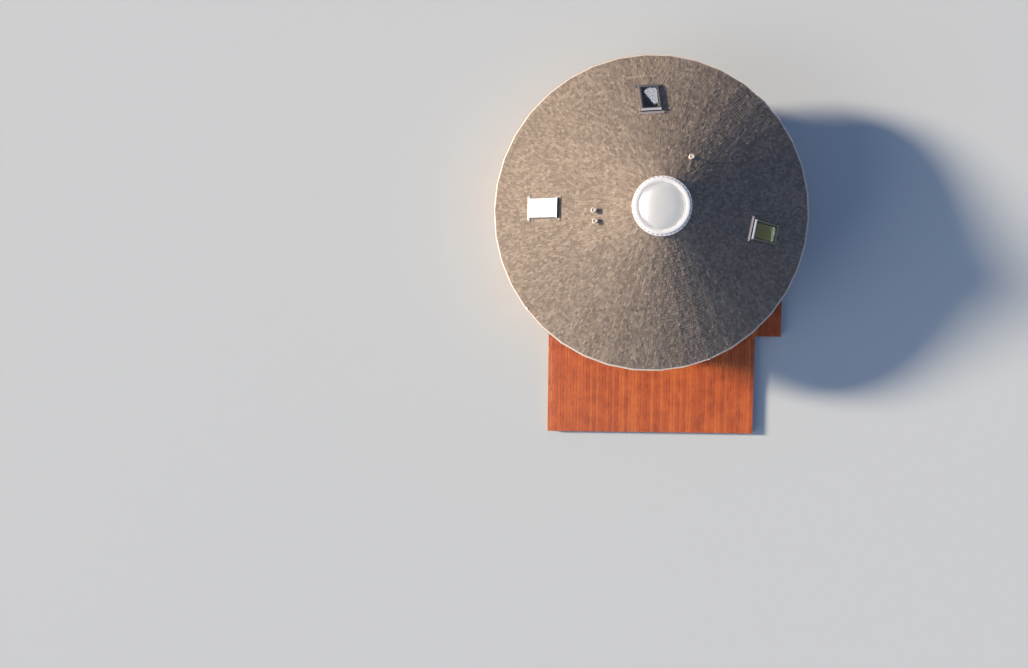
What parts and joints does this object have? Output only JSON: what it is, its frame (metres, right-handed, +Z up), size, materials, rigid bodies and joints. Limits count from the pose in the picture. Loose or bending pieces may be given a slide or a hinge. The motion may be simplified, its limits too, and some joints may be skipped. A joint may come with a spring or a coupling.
{
  "type": "yurt",
  "caption": "Round timber yurt house with a shingled cone roof, a milky crown dome, roof windows, capped vents and a low board deck.",
  "frame": {"origin": "on the axis of the round house, at ground level, under the slab", "axes": "+Z up; -Y towards the deck in front; +X to the right as seen from the deck"},
  "size_m": [12.8986, 15.8752, 5.2603],
  "materials": {
    "concrete": "cast, matte",
    "floor_boards": "planed, oiled",
    "cladding": "sawn upright boards, stained",
    "frame_timber": "planed softwood",
    "painted_joinery": "off-white paint, satin",
    "door_wood": "dark stained, satin",
    "window_glass": "clear double glazing",
    "shingles": "mineral granules on bitumen, mottled grey-brown",
    "eave_metal": "cream paint, satin",
    "window_metal": "satin cladding profiles",
    "white_shell": "white moulded shell",
    "milky_acrylic": "milky, half clear",
    "vent_metal": "light grey-cream paint",
    "deck_wood": "red-orange oiled boards"
  },
  "bodies": {
    "root": {"foundation_slab": "concrete", "floor_platform": "floor_boards", "wall_back": "cladding", "wall_right": "cladding", "wall_beside_terrace_left": "cladding", "wall_beside_terrace_right": "cladding", "wall_entrance_front": "cladding", "wall_entrance_back": "cladding", "wall_entrance": "cladding", "entrance_door_frame": "painted_joinery", "entrance_door": "door_wood", "entrance_step": "concrete", "wall_terrace_left": "cladding", "terrace_door_left_frame": "painted_joinery", "terrace_door_left_glass": "window_glass", "wall_terrace_right": "cladding", "terrace_door_right_frame": "painted_joinery", "terrace_door_right_glass": "window_glass", "wall_front_left": "cladding", "window_front_left_frame": "painted_joinery", "window_front_left_glass": "window_glass", "wall_front_right": "cladding", "window_front_right_frame": "painted_joinery", "window_front_right_glass": "window_glass", "wall_back_left": "cladding", "window_back_left_frame": "painted_joinery", "window_back_left_glass": "window_glass", "wall_back_right": "cladding", "window_back_right_frame": "painted_joinery", "window_back_right_glass": "window_glass", "wall_plate": "frame_timber", "rafters_and_crown": "frame_timber", "roof_deck": "shingles", "fascia": "painted_joinery", "drip_edge": "eave_metal", "dome_curb": "white_shell", "dome": "milky_acrylic", "roof_window_left_frame": "window_metal", "roof_window_left_glass": "window_glass", "roof_window_back_frame": "window_metal", "roof_window_back_glass": "window_glass", "roof_window_right_frame": "window_metal", "roof_window_right_glass": "window_glass", "vent_left_upper": "vent_metal", "vent_left_lower": "vent_metal", "vent_right": "vent_metal", "deck_boards": "deck_wood", "deck_frame": "frame_timber", "wing_boards": "deck_wood", "wing_frame": "frame_timber"}
  },
  "joints": []
}
